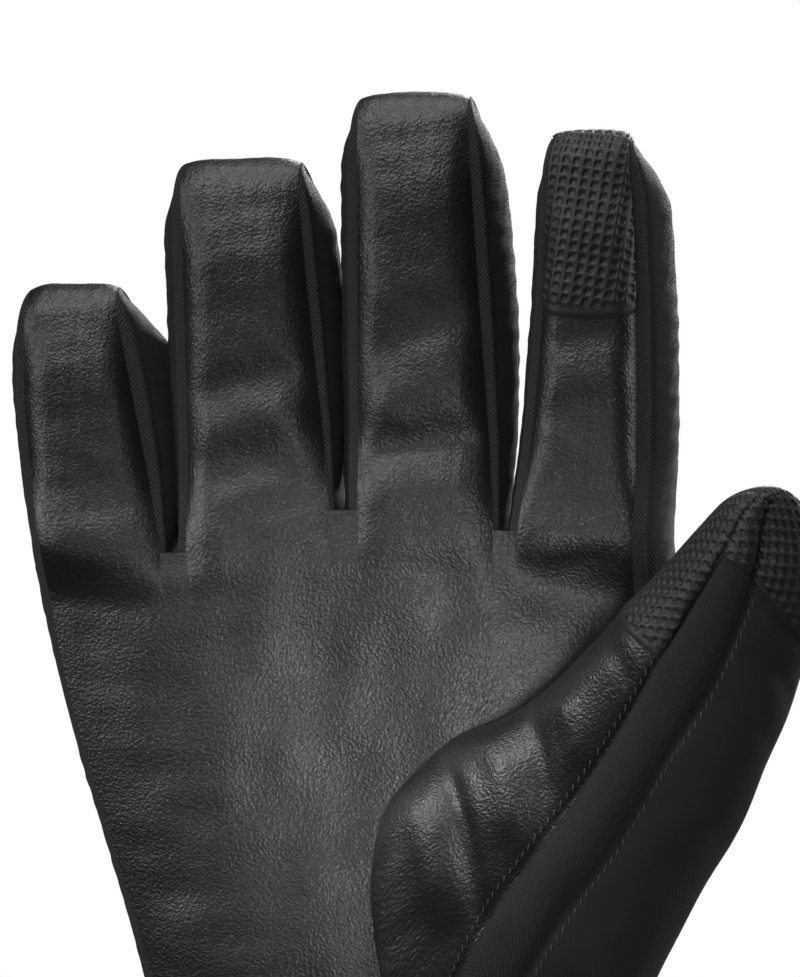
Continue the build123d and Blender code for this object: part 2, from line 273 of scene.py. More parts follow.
def twill(name, pitch=0.66, lean=1.0, dark=(0.0018, 0.0018, 0.0019), light=(0.0075, 0.0075, 0.0079),
          depth=0.0002):
    """Woven twill: slanted ribs crossed by the weft, on the flat cloth's own directions."""
    m = Nodes(name)
    split = m.node("SeparateXYZ", {0: m.cloth})
    x, y = split.outputs[0], split.outputs[1]
    wobble = m.math("MULTIPLY", m.noise(0.35, 1.0), 0.9)
    diagonal = m.math("ADD", m.math("ADD", x, m.math("MULTIPLY", y, lean)), wobble)
    ribs = m.math("SINE", m.math("MULTIPLY", diagonal, 2 * math.pi / pitch / 1.2))
    weft = m.math("SINE", m.math("MULTIPLY", m.math("SUBTRACT", y, m.math("MULTIPLY", x, 0.25)),
                                 2 * math.pi / (pitch * 0.72)))
    weave = m.math("ADD", m.math("MULTIPLY", ribs, 0.68), m.math("MULTIPLY", weft, 0.32))
    level = m.ramp(weave, -0.9, 0.9)
    m.colour(m.math("ADD", m.math("MULTIPLY", level, 0.8), m.math("MULTIPLY", m.noise(0.09, 3.0), 0.25)),
             dark, light)
    m.rough(m.ramp(level, 0.0, 1.0, 0.9, 0.66))
    fibre = m.bump(m.noise(6.0, 2.0), 0.00006, 0.4)
    return m.finish(m.bump(level, depth, 0.9, fibre), Specular_IOR_Level=0.22, Sheen_Weight=0.02,
                    Sheen_Roughness=0.5)


def plain_nylon(name="nylon"):
    """Soft-shell nylon: very fine diagonal ribs, almost smooth."""
    return twill(name, 0.42, 0.6, (0.002, 0.002, 0.0022), (0.0055, 0.0055, 0.0059), 0.00008)


def grip(name="grip"):
    """Embossed grip film: the cells are in the mesh, and the film has a faint texture."""
    m = Nodes(name)
    broad = m.noise(0.3, 3.0)
    m.colour(broad, (0.003, 0.003, 0.0033), (0.008, 0.008, 0.0085))
    m.rough(m.ramp(broad, 0.3, 0.7, 0.6, 0.5))
    return m.finish(m.bump(m.noise(2.6, 3.0), 0.00008, 0.6), Specular_IOR_Level=0.4)


def fleece(name="fleece"):
    """Brushed lining."""
    m = Nodes(name)
    tufts = m.noise(1.4, 5.0, roughness=0.7)
    m.colour(tufts, (0.012, 0.012, 0.013), (0.05, 0.05, 0.052))
    m.rough(m.ramp(tufts, 0.3, 0.7, 1.0, 0.85))
    return m.finish(m.bump(tufts, 0.0007, 1.0), Sheen_Weight=0.4, Specular_IOR_Level=0.2)


def webbing(name="webbing", pitch=1.5):
    """Narrow woven tape with ribs across it."""
    m = Nodes(name)
    split = m.node("SeparateXYZ", {0: m.cloth})
    across = m.math("SINE", m.math("MULTIPLY", split.outputs[1], 2 * math.pi / pitch))
    along = m.math("SINE", m.math("MULTIPLY", split.outputs[0], 2 * math.pi / (pitch * 0.8)))
    level = m.ramp(m.math("MULTIPLY", across, along), -1.0, 1.0)
    m.colour(level, (0.006, 0.006, 0.0065), (0.022, 0.022, 0.023))
    m.rough(m.ramp(level, 0.0, 1.0, 0.85, 0.7))
    return m.finish(m.bump(level, 0.00025, 0.9), Sheen_Weight=0.1)


def position_material(name, dark, light, scale, rough, depth, **fixed):
    """A material for CAD pieces, whose texture follows their place in the row."""
    m = Nodes(name)
    place = m.node("TexCoord").outputs["Object"]
    speckle = m.noise(scale, 4.0, place)
    m.colour(speckle, dark, light)
    m.rough(m.ramp(speckle, 0.3, 0.7, *rough))
    return m.finish(m.bump(speckle, depth, 0.7), **fixed)


LEATHER = leather()
TWILL = twill("twill")
TWILL_EDGE = twill("twill_edge", 0.62, -1.0, (0.0025, 0.0025, 0.0027), (0.016, 0.016, 0.017), 0.00025)
NYLON = plain_nylon()
GRIP = grip()
FLEECE = fleece()
WEBBING = webbing()
THREAD = position_material("thread", (0.012, 0.012, 0.013), (0.03, 0.03, 0.032), 900.0, (0.7, 0.5), 0.0001)
PLASTIC = position_material("moulded_plastic", (0.012, 0.012, 0.013), (0.02, 0.02, 0.021), 1500.0,
                            (0.5, 0.38),
                            0.00003)
TAPE = position_material("tape", (0.006, 0.006, 0.0065), (0.02, 0.02, 0.021), 1400.0, (0.85, 0.7), 0.0004)
HOOKS = position_material("hook_and_loop", (0.004, 0.004, 0.004), (0.03, 0.03, 0.031), 1800.0,
                          (1.0, 0.8), 0.0006)


# ---------------------------------------------------------------- creases and bulges of the leather
# view x and height of each end, half width, and depth: positive pushes outward
CREASES = [
    (-40, 224, -20, 229, 3.6, -0.9), (-40, 217.5, -20, 221, 4.0, 0.8), (-38, 208, -22, 211, 3.2, -0.7),
    (-34, 197, -11, 207, 3.6, -0.9), (-7, 232, 14, 241, 4.2, -1.0), (-7, 222, 15, 227, 5.0, 0.9),
    (-6, 213, 16, 216, 3.4, -1.1), (-12, 205, 20, 206, 4.5, 0.5), (26, 233, 44, 236, 3.6, -0.8),
    (27, 226, 44, 228, 3.6, 0.8), (26, 205, 45, 198, 5.0, -1.2), (27, 214, 45, 211, 4.0, 0.6),
    (-74, 222, -56, 219, 5.0, -0.4), (-73, 205, -50, 203, 4.5, -0.5), (-72, 196, -48, 190, 6.0, 0.5),
    (20, 190, 44, 178, 6.0, -0.8), (-10, 196, 15, 199, 6.0, 0.5), (-45, 189, -15, 197, 7.0, 0.5),
]


def crease_depth(across, height):
    """How far all creases together push the leather out at a place in the view."""
    total = np.zeros_like(across)
    for x0, z0, x1, z1, half, depth in CREASES:
        ux, uz = x1 - x0, z1 - z0
        length = math.hypot(ux, uz)
        t = ((across - x0) * ux + (height - z0) * uz) / length**2
        off = ((across - x0) * uz - (height - z0) * ux) / length
        bow = (off + 1.2 * np.sin(t * 3.1)) / 1.2
        total += (0.85 * depth * np.exp(-(bow / half) ** 2) * smooth(t, -0.25, 0.2)
                  * (1 - smooth(t, 0.8, 1.25)))
    return total


# ---------------------------------------------------------------- joining pieces to the bodies
JOINTS = {joint["name"]: joint for joint in frame["joints"]}


def joint_at(name):
    """Where a joint's axis passes, in mm."""
    return np.array(JOINTS[name]["pos_m"]) / MM


class Bend:
    """Where a digit's pieces are meant to turn: over a span above its root joint, and over one about its
    middle joint. Nothing here bends them.
    """

    def __init__(self, name, root, middle, root_span, split, middle_span):
        self.root = joint_at(root)
        self.split = split
        self.along = joint_at(middle) - self.root
        self.along /= np.linalg.norm(self.along)
        self.bodies = {"lower": ("hand", name + "_lower"), "upper": (name + "_lower", name + "_upper")}
        self.zones = {part: [self.root + self.along * h for h in span]
                      for part, span in (("lower", root_span), ("upper", middle_span))}

    def height(self, P):
        """How far points are above the root joint, along the digit."""
        return (P - self.root) @ self.along


def attach(obj, body, replaced=(), zone=None):
    """The piece rides on a body; given a zone, it is only baked in place, joined to no body, and nothing
    bends it.
    """
    if zone is None:
        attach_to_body(obj, body)
    else:
        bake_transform(obj)
    if replaced:
        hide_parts(*replaced)
    return obj


def sample(P, R, C):
    """A grid's points at fractional rows R and columns C."""
    rows, columns = P.shape[:2]
    r0 = np.clip(np.floor(R).astype(int), 0, rows - 2)
    c0 = np.clip(np.floor(C).astype(int), 0, columns - 2)
    r, c = (R - r0)[..., None], (C - c0)[..., None]
    low = P[r0, c0] * (1 - c) + P[r0, c0 + 1] * c
    high = P[r0 + 1, c0] * (1 - c) + P[r0 + 1, c0 + 1] * c
    return low * (1 - r) + high * r


def inflate(grids, pressure=3.0, frames=20, cap=1.6):
    """The grids after a short cloth simulation that holds each panel's border and swells its middle."""
    scene = bpy.context.scene
    scale = 10.0
    made = []
    for k, (P, turn) in enumerate(grids):
        faces = grid_faces(*P.shape[:2])
        wound = (faces[:, ::-1] if turn else faces).tolist()
        obj = new_object(f"swelling_{k}", P.reshape(-1, 3) * scale, wound, NYLON)
        held = obj.vertex_groups.new(name="held")
        inside = np.zeros(P.shape[:2], bool)
        inside[2:-2, 2:-2] = True
        held.add(np.flatnonzero(~inside.ravel()).tolist(), 1.0, "REPLACE")
        cloth = obj.modifiers.new("cloth", "CLOTH")
        cloth.point_cache.frame_start, cloth.point_cache.frame_end = 1, frames
        settings = cloth.settings
        settings.vertex_group_mass = "held"
        settings.quality = 4
        settings.use_pressure = True
        settings.uniform_pressure_force = pressure
        settings.effector_weights.gravity = 0.0
        settings.shrink_min = -0.03
        made.append(obj)
    for step in range(1, frames + 1):
        scene.frame_set(step)
    results = []
    for (P, turn), obj in zip(grids, made):
        ready = obj.evaluated_get(bpy.context.evaluated_depsgraph_get())
        moved = np.empty(len(ready.data.vertices) * 3, np.float32)
        ready.data.vertices.foreach_get("co", moved)
        shift = moved.reshape(P.shape).astype(float) / scale / MM - P
        length = np.linalg.norm(shift, axis=2, keepdims=True)
        results.append(P + shift * cap * np.tanh(length / cap) / np.maximum(length, 1e-9))
        mesh = obj.data
        bpy.data.objects.remove(obj)
        bpy.data.meshes.remove(mesh)
    scene.frame_set(1)
    return results


def keep_flat(before, after):
    """The cuff's back panel, flat again where the strap lies on it."""
    x, z = before[..., 0], before[..., 2]
    under = (1 - smooth(np.abs(x), 27, 36)) * (1 - smooth(np.abs(z - STRAP_Z), 12, 19))
    return after + (before - after) * under[..., None]


def tube_rings(path, radius, sides=8, closed=False):
    """Rings of points round a path."""
    along = np.roll(path, -1, 0) - np.roll(path, 1, 0) if closed else np.gradient(path, axis=0)
    along /= np.linalg.norm(along, axis=1, keepdims=True)
    guide = np.where(np.abs(along[:, 2:]) < 0.8, [[0.0, 0.0, 1.0]], [[1.0, 0.0, 0.0]])
    u = np.cross(along, guide)
    u /= np.linalg.norm(u, axis=1, keepdims=True)
    v = np.cross(u, along)
    a = np.linspace(0, 2 * math.pi, sides, endpoint=False)
    spokes = u[:, None] * np.cos(a)[None, :, None] + v[:, None] * np.sin(a)[None, :, None]
    return path[:, None] + radius * spokes


def piping(name, path, radius, material):
    """A closed round binding along a path."""
    R = tube_rings(path, radius, 12, closed=True)
    P = np.concatenate([R, R[:, :1]], 1)
    P = np.concatenate([P, P[:1]], 0)
    return panel(name, P, material, flat_of(P), turn=True)


def stitches(name, path, normal, pitch=2.3, length=1.5, radius=0.17, slant=0.0):
    """A row of thread stitches along a path, each a short bent bead half sunk in the cloth."""
    run = np.r_[0, np.cumsum(np.linalg.norm(np.diff(path, axis=0), axis=1))]
    verts, faces = [], []
    places = np.arange(pitch / 2, run[-1] - pitch / 2, pitch)
    profile = np.sin(np.linspace(0.12, math.pi - 0.12, 7)) ** 0.5
    for place in places:
        at = np.linspace(place - length / 2, place + length / 2, 7)
        line = np.stack([np.interp(at, run, path[:, k]) for k in range(3)], 1)
        out = np.array([np.interp(place, run, normal[:, k]) for k in range(3)])
        out /= np.linalg.norm(out)
        side = np.cross(out, line[-1] - line[0])
        side /= np.linalg.norm(side)
        line = line + out * (0.10 * profile)[:, None] + side * (slant * np.linspace(-0.5, 0.5, 7))[:, None]
        a = np.linspace(0, 2 * math.pi, 6, endpoint=False)
        R = line[:, None] + radius * profile[:, None, None] * (side * np.cos(a)[None, :, None]
                                                                + out * np.sin(a)[None, :, None])
        start = len(verts) * 42
        verts.append(R.reshape(-1, 3))
        for r in range(6):
            for c in range(6):
                n = (c + 1) % 6
                near, far = start + r * 6, start + r * 6 + 6
                faces.append([near + c, near + n, far + n, far + c])
        faces.append([start + c for c in range(5, -1, -1)])
        faces.append([start + 36 + c for c in range(6)])
    points = np.vstack(verts)
    return new_object(name, points, faces, THREAD, points)


# ---------------------------------------------------------------- fingers
FRONT_SEAM = -10.2  # depth of the seams beside the leather
BACK_SEAM = 9.5
CROWN_FRONT = 3.4
CROWN_BACK = 3.6
TIP_CROWN = 0.9
FOOT_FLARE = 3.3  # how much further the seams stand out at the fingers' roots
BACK_RISE = 3.0  # how much higher the crotches are behind
N_STRAIGHT = 72
N_TIP = 44
N_ACROSS = 37
N_RIB = 37

# outer left, left seam, right seam and outer right against height, all in view x; then the tip's height,
# and the front crotch heights left and right
DIGITS = {
    "little": dict(
        OL=[(244, -77.6), (234, -78.8), (214, -76.4), (192, -72.6)],
        SL=[(246, -75.2), (234, -76.0), (214, -74.6), (196, -72.0)],
        SR=[(246, -57.8), (234, -55.8), (214, -51.6), (194, -47.6)],
        OR=[(244, -49.6), (234, -45.0), (214, -43.2), (194, -44.8)],
        tip=247.4, crotch=(196.0, 193.5)),
    "ring": dict(
        OL=[(266, -47.2), (250, -47.6), (234, -46.8), (214, -44.6), (194, -44.0)],
        SL=[(268, -44.2), (250, -44.0), (234, -43.2), (214, -42.4), (194, -42.6)],
        SR=[(269, -21.0), (250, -19.2), (234, -17.6), (206, -14.2)],
        OR=[(266, -14.6), (254, -12.2), (234, -11.2), (206, -11.6)],
        tip=272.2, crotch=(193.5, 202.0)),
    "middle": dict(
        OL=[(280, -11.6), (260, -12.2), (234, -11.2), (206, -11.0)],
        SL=[(282, -8.8), (260, -9.2), (234, -8.6), (206, -8.4)],
        SR=[(281, 12.8), (260, 14.0), (234, 16.0), (200, 18.4)],
        OR=[(278, 18.6), (262, 22.4), (234, 22.9), (200, 21.6)],
        tip=285.0, crotch=(202.0, 198.0)),
    "index": dict(
        OL=[(268, 27.2), (250, 26.6), (234, 25.4), (200, 22.0)],
        SL=[(270, 29.0), (250, 28.4), (234, 27.2), (200, 23.4)],
        SR=[(270, 44.6), (250, 45.8), (234, 46.0), (196, 45.6)],
        OR=[(266, 53.0), (250, 54.8), (234, 54.8), (192, 53.6)],
        tip=276.6, crotch=(198.0, 197.0)),
}
ORDER = ["little", "ring", "middle", "index"]


def side_path(seam_y, base_front, base_back, tip):
    """A seam's path in depth and height: up the front, over the tip and down the back."""
    front = np.stack([np.full(N_STRAIGHT, seam_y), np.linspace(base_front, tip - 11.5, N_STRAIGHT)], 1)
    over = spline([(seam_y, tip - 11.5), (seam_y + 0.2, tip - 7.0), (seam_y + 1.3, tip - 3.9),
                   (seam_y + 3.6, tip - 1.7), (seam_y + 6.6, tip - 0.7), (0.0, tip - 0.9), (4.6, tip - 2.8),
                   (BACK_SEAM - 1.6, tip - 7.0), (BACK_SEAM, tip - 13.5)], N_TIP)
    back = np.stack([np.full(N_STRAIGHT, BACK_SEAM), np.linspace(tip - 13.5, base_back, N_STRAIGHT)], 1)
    return np.vstack([front[:-1], over, back[1:]])


class Finger:
    """The grids of one finger: its belt of leather and nylon, and its two gussets."""

    def __init__(self, name, spec):
        self.name, self.tip = name, spec["tip"]
        curve = {key: fit(spec[key]) for key in ("OL", "SL", "SR", "OR")}
        base_left, base_right = spec["crotch"]
        self.left = self.seam(curve["SL"], curve["SR"], base_left, -1)
        self.right = self.seam(curve["SR"], curve["SL"], base_right, 1)
        self.outer = (curve["OL"], curve["OR"])
        self.belt = self.make_belt()
        self.gussets = {"left": self.make_gusset(self.left, 0), "right": self.make_gusset(self.right, 1)}
        N = normals_of(self.belt)
        self.base_normals = {"front": N[0], "back": N[-1]}

    def seam(self, own, other, base, sign):
        """One side's seam, up the front, over the tip and down the back, as points."""
        path = side_path(FRONT_SEAM, base, base + BACK_RISE, self.tip)
        y, z = path[:, 0], path[:, 1]
        y = y + np.where(y < 0, -FOOT_FLARE, FOOT_FLARE) * (1 - smooth(z, base, base + 18))
        front_x = from_view(own(z), FRONT_SEAM)
        middle_x = from_view((own(z) + other(z)) / 2, FRONT_SEAM)
        back_x = middle_x + 0.6 + sign * (np.abs(front_x - middle_x) - 0.8)
        share = smooth(y, FRONT_SEAM + 2, BACK_SEAM - 2)
        return np.stack([front_x * (1 - share) + back_x * share, y, z], 1)

    def make_belt(self):
        """Columns across from seam to seam, rows along the path, crowned between the seams."""
        t = crowded(N_ACROSS, 0.55)
        base = self.left[:, None] * (1 - t)[None, :, None] + self.right[:, None] * t[None, :, None]
        middle = (self.left + self.right) / 2
        along = np.gradient(middle, axis=0)
        across = self.right - self.left
        out = np.cross(across, along)
        out /= np.linalg.norm(out, axis=1, keepdims=True)
        height, depth = middle[:, 2], middle[:, 1]
        crown = np.where(depth < 0, CROWN_FRONT, CROWN_BACK)
        foot = height.min()
        crown = crown * (0.4 + 0.6 * smooth(height, foot, foot + 20))
        crown = TIP_CROWN + (crown - TIP_CROWN) * (1 - smooth(height, self.tip - 22, self.tip - 6))
        profile = 1 - np.abs(2 * t - 1) ** 4.5
        P = base + out[:, None] * (crown[:, None] * profile[None, :])[..., None]
        front = smooth(-P[..., 1], 4, 9)
        push = crease_depth(P[..., 0] * cos(VIEW_AZIMUTH) + P[..., 1] * sin(VIEW_AZIMUTH), P[..., 2])
        P += out[:, None] * (push * front * (profile[None, :] * 0.75 + 0.25))[..., None]
        wrinkle = 0.28 * noise(P.reshape(-1, 3), 9, 3).reshape(push.shape) * profile
        return P + out[:, None] * wrinkle[..., None]

    def make_gusset(self, seam, side):
        """Ribs from the front seam to the back seam, bulging out to the finger's outer edge."""
        rows = len(seam) // 2 + 1
        front, back = seam[:rows], seam[::-1][:rows]
        return rib_panel(front, back, self.outer[side], 1 if side else -1, self.tip - 1.6)


def crowded(count, share):
    """Numbers from 0 to 1, closer together at both ends."""
    t = np.linspace(0, 1, count)
    return t * (1 - share) + share * (1 - np.cos(math.pi * t)) / 2


def rib_panel(front, back, outer, sign, crest=None):
    """Ribs from front points to back points, bulging sideways to the outer edge's view x.
    crest is the height where the bulge starts, falling away below it."""
    q = crowded(N_RIB, 0.6)
    length = np.linalg.norm(back - front, axis=1)
    z_mid = (front[:, 2] + back[:, 2]) / 2
    middle_x = (front[:, 0] + back[:, 0]) / 2
    reach = np.maximum(sign * (from_view(outer(z_mid), 0.5) - middle_x), 1.0)
    share = np.clip(length / (BACK_SEAM - FRONT_SEAM), 0, 1)
    bulge = reach * np.sqrt(np.clip(1 - (1 - share) ** 2, 0, 1))
    if crest is not None:
        bulge = np.minimum(bulge, reach * (1 - (1 - np.clip((crest - z_mid) / 13.5, 0, 1)) ** 1.7))
    profile = np.sin(math.pi * q) ** 0.7
    P = front[:, None] * (1 - q)[None, :, None] + back[:, None] * q[None, :, None]
    P[..., 0] += sign * bulge[:, None] * profile[None, :]
    from_seam = np.minimum(q, 1 - q) * length.max()
    turned_edge = (0.9 * np.exp(-((from_seam - 1.1) / 0.55) ** 2)
                   - 0.5 * np.exp(-((from_seam - 2.3) / 0.5) ** 2))
    puckers = noise(P.reshape(-1, 3) * [1, 1, 2.2], 5, 5).reshape(P.shape[:2]) * profile[None, :]
    swell = (0.8 * turned_edge[None, :] + 0.16 * puckers) * share[:, None]
    P[..., 0] += sign * swell
    P[..., 1] += np.where(q < 0.5, -1, 1)[None, :] * 0.5 * turned_edge[None, :] * share[:, None]
    return P


FINGERS = {name: Finger(name, DIGITS[name]) for name in ORDER}


# ---------------------------------------------------------------- the hand's front and back
HAND_FOOT = 96.5
N_GAP = 6
N_PALM = 105
PALM_LEFT = fit([(196, -72.0), (184, -70.2), (154, -63.8), (126, -54.8), (97, -47.0)], 3)
PALM_RIGHT = fit([(197, 45.6), (184, 45.6), (165, 45.2), (126, 43.6), (97, 40.5)], 3)
HAND_LEFT = fit([(194, -72.6), (184, -71.4), (154, -65.4), (126.4, -56.8), (97, -49.4)], 3)
HAND_RIGHT = fit([(194, 53.6), (175, 54.2), (150, 54.0), (126, 52.0), (97, 46.6)], 3)
PALM_DEPTH = fit([(200, 14.4), (175, 15.2), (150, 16.0), (120, 17.0), (97, 17.4)])
BACK_DEPTH = fit([(200, 13.5), (175, 17.0), (150, 19.0), (120, 20.5), (97, 20.4)])


def top_edge(of):
    """One row of each finger, as of() gives it, with the gaps between the fingers filled in."""
    parts = []
    for first, second in zip(ORDER, ORDER[1:] + [None]):
        points = of(FINGERS[first])
        parts.append(points)
        if second:
            t = np.linspace(0, 1, N_GAP)[1:-1, None]
            parts.append(points[-1] * (1 - t) + of(FINGERS[second])[0] * t)
    return np.vstack(parts)


def hand_panel(row, depth, sign, left, right, edge_y):
    """A grid from the wrist up to the fingers. sign is -1 for the palm and 1 for the back."""
    top = top_edge(lambda finger: finger.belt[row])
    columns = len(top)
    c = np.linspace(0, 1, columns)
    v = np.linspace(0, 1, N_PALM)[:, None]
    z = HAND_FOOT + (top[None, :, 2] - HAND_FOOT) * v
    border_left = from_view(left(z), edge_y)
    border_right = from_view(right(z), edge_y)
    even = border_left + (border_right - border_left) * c[None, :]
    pull = smooth(v, 0.45, 1.0)
    shift = top[None, :, 0] - even[-1:, :]
    x = even + shift * pull
    place = np.clip((x - border_left) / (border_right - border_left), 0, 1)
    body = edge_y + (sign * depth(z) - edge_y) * (1 - np.abs(2 * place - 1) ** 3.0)
    if sign < 0:
        body += 1.5 * np.exp(-((place - 0.5) / 0.2) ** 2) * smooth(z, 120, 150) * (1 - smooth(z, 170, 190))
    near = smooth(z, top[None, :, 2] - 13, top[None, :, 2])
    y = body * (1 - near) + top[None, :, 1] * near
    P = np.stack([x, y, z], 2)
    push = 0.35 * noise(P.reshape(-1, 3), 16, 8).reshape(x.shape)
    if sign < 0:
        push = push + crease_depth(x * cos(VIEW_AZIMUTH) + y * sin(VIEW_AZIMUTH), z)
    rim = np.minimum(smooth(place, 0, 0.06), 1 - smooth(place, 0.94, 1)) * (1 - smooth(v, 0.93, 1.0))
    P[..., 1] += sign * push * rim
    return P


PALM = hand_panel(0, PALM_DEPTH, -1, PALM_LEFT, PALM_RIGHT, -9.0)
BACK = hand_panel(-1, BACK_DEPTH, 1, PALM_LEFT, PALM_RIGHT, 9.0)


def meeting(outline, other, z_top):
    """A hand outline that ends where the finger's outline starts."""
    step = other(z_top) - outline(z_top)
    return lambda z: outline(z) + step * smooth(z, z_top - 30, z_top)


def hand_sides():
    """The twill strips down the two sides of the hand, from the little and the index finger's gussets."""
    left = meeting(HAND_LEFT, FINGERS["little"].outer[0], (PALM[-1, 0, 2] + BACK[-1, 0, 2]) / 2)
    right = meeting(HAND_RIGHT, FINGERS["index"].outer[1], (PALM[-1, -1, 2] + BACK[-1, -1, 2]) / 2)
    return {"little_side": rib_panel(PALM[:, 0], BACK[:, 0], left, -1),
            "index_side": rib_panel(PALM[:, -1], BACK[:, -1], right, 1)}


def crotch_saddle(first, second):
    """The twill between two fingers, from one gusset's foot to the next one's."""
    a = FINGERS[first].gussets["right"][0]
    b = FINGERS[second].gussets["left"][0]
    t = np.linspace(0, 1, 7)[None, :, None]
    q = np.linspace(0, 1, len(a))[:, None]
    S = a[:, None] * (1 - t) + b[:, None] * t
    S[..., 2] -= 3.0 * np.sin(math.pi * t[..., 0]) * np.sin(math.pi * np.clip(q, 0.02, 0.98)) ** 0.5
    return S


def sewn_line(P, N, line, depth, half):
    """Presses a sewn line, a list of (x, z), into a panel. Returns the panel and the line's points on it."""
    fine = spline(line, 160)
    gap = np.full(P.shape[:2], 1e9)
    for x, z in fine:
        gap = np.minimum(gap, np.hypot(P[..., 0] - x, P[..., 2] - z))
    pressed = P - N * (depth * np.exp(-(gap / half) ** 2))[..., None]
    flat_points, flat_normals = pressed.reshape(-1, 3), N.reshape(-1, 3)
    nearest = [int(np.argmin(np.hypot(P[..., 0] - x, P[..., 2] - z))) for x, z in fine]
    return pressed, smoothed(flat_points[nearest]), smoothed(flat_normals[nearest])


def shared_normals(P, side, sign):
    """A hand panel's normals, and the fingers' first ones, made the same along the line between them."""
    N = normals_of(P)
    mean = N[-1] + sign * top_edge(lambda finger: finger.base_normals[side])
    mean /= np.linalg.norm(mean, axis=1, keepdims=True)
    N[-1] = mean
    column = 0
    for name in ORDER:
        FINGERS[name].base_normals[side] = sign * mean[column:column + N_ACROSS]
        column += N_ACROSS + N_GAP - 2
    return N


BACK_SEAMS = {
    "yoke": [(-62, 176), (-40, 183), (-10, 187), (20, 184), (42, 175)],
    "little_dart": [(-43, 182), (-38, 160), (-33, 135), (-29, 104)],
    "index_dart": [(22, 184), (20, 160), (17, 135), (14, 104)],
}


def make_hand(back):
    """The palm, the back, the two sides, the crotches and the bound lower edge of the hand."""
    N = shared_normals(PALM, "front", 1)
    palm = panel("palm_panel", PALM, LEATHER, flat_of(PALM), normals=N)
    attach(palm, "hand", ["palm_leather"])
    threads = {}
    for name, line in BACK_SEAMS.items():
        back, points, outward = sewn_line(back, -normals_of(back), line, 1.3, 1.7)
        threads[name] = (points, outward)
    for name, (points, outward) in threads.items():
        attach(stitches(f"back_{name}_thread", points, outward), "hand")
    N = shared_normals(back, "back", -1)
    rear = panel("back_panel", back, NYLON, flat_of(back), normals=N, turn=True)
    attach(rear, "hand", ["hand_back", "hand_padding", "waterproof_membrane", "hand_lining"])
    sides = hand_sides()
    for name, G in sides.items():
        obj = panel("hand_" + name, G, TWILL, flat_of(G), turn=name == "little_side", edge=TWILL_EDGE)
        attach(obj, "hand")
    for first, second in zip(ORDER, ORDER[1:]):
        S = crotch_saddle(first, second)
        attach(panel(f"{first}_{second}_crotch", S, TWILL, flat_of(S), turn=True), "hand")
    foot = np.vstack([PALM[0], sides["index_side"][0][1:], back[0][::-1][1:],
                      sides["little_side"][0][::-1][1:-1]])
    attach(piping("hand_lower_binding", foot, 1.1, WEBBING), "hand")


# ---------------------------------------------------------------- digits' pieces
def place_piece(obj, bend, part, replaced=()):
    """Places a digit's piece of its root joint ("lower") or its middle joint ("upper"), baked in place;
    nothing bends it.
    """
    attach(obj, bend.bodies[part], replaced, bend.zones[part])


def make_finger(finger, back):
    """Leather front, nylon back and two gussets of one finger, each in a lower and an upper piece."""
    name, bend = finger.name, finger.bend
    belt = finger.belt.copy()
    top = N_STRAIGHT - 3 + N_TIP
    belt[top:] = back
    flat = flat_of(belt)
    N = normals_of(belt)
    N[0], N[-1] = finger.base_normals["front"], finger.base_normals["back"]
    last = len(belt) - 1
    split = int(np.argmin(np.abs(bend.height(belt[: N_STRAIGHT].mean(1)) - bend.split)))
    pieces = (("front", "lower", slice(0, split + 1), LEATHER, "leather", "leather"),
              ("front", "upper", slice(split, top + 1), LEATHER, "leather", "leather"),
              ("back", "upper", slice(top, last - split + 1), NYLON, "nylon", "back"),
              ("back", "lower", slice(last - split, last + 1), NYLON, "nylon", "back"))
    for side, part, rows, material, slot, node in pieces:
        obj = panel(f"{name}_{side}_{part}", belt, material, flat, normals=N, rows=rows)
        replaced = [f"{name}_{part}_{node}"] + ([f"{name}_{part}_liner"] if side == "back" else [])
        place_piece(obj, bend, part, replaced)
    for side, G in finger.gussets.items():
        G_flat, turn = flat_of(G), side == "left"
        for part, rows in (("lower", slice(0, split + 1)), ("upper", slice(split, len(G)))):
            obj = panel(f"{name}_{side}_side_{part}", G, TWILL, G_flat, rows=rows, turn=turn, edge=TWILL_EDGE)
            place_piece(obj, bend, part, [f"{name}_{part}_gussets"] if turn else [])


def embossed(P, R, C, pitch, recess, tilt, lift, rise, brick, open_sides):
    """A fine grid at fractional rows R and columns C of P, lifted, with a raised net around recessed cells.
    brick is how far every other row of cells is shifted. Open sides run down to the digit's surface."""
    base = sample(P, R, C)
    N = sample(normals_of(P), R, C)
    N /= np.linalg.norm(N, axis=2, keepdims=True)
    flat = sample(flat_of(P), R, C)
    u = (flat[..., 0] * cos(tilt) + flat[..., 1] * sin(tilt)) / pitch
    v = (flat[..., 1] * cos(tilt) - flat[..., 0] * sin(tilt)) / pitch
    u = u + brick * (np.floor(v) % 2)
    du, dv = np.abs(u - np.floor(u) - 0.5), np.abs(v - np.floor(v) - 0.5)
    across = (du**4 + dv**4) ** 0.25 * pitch * 2
    net = smooth(across, recess - 0.25, recess + 0.25)
    i = np.arange(R.shape[0])[:, None] / (R.shape[0] - 1)
    hem = smooth(i, 0, 0.018)
    rim = hem * (0.15 + 0.85 * smooth(i, 0.035, 0.05))
    height = lift * hem + rise * net * rim
    height = height * (1 - smooth(i, 0.985, 1.0))
    if open_sides:
        j = np.arange(R.shape[1])[None, :] / (R.shape[1] - 1)
        height = height * smooth(np.minimum(j, 1 - j), 0, 0.03)
    return base + N * height[..., None], flat


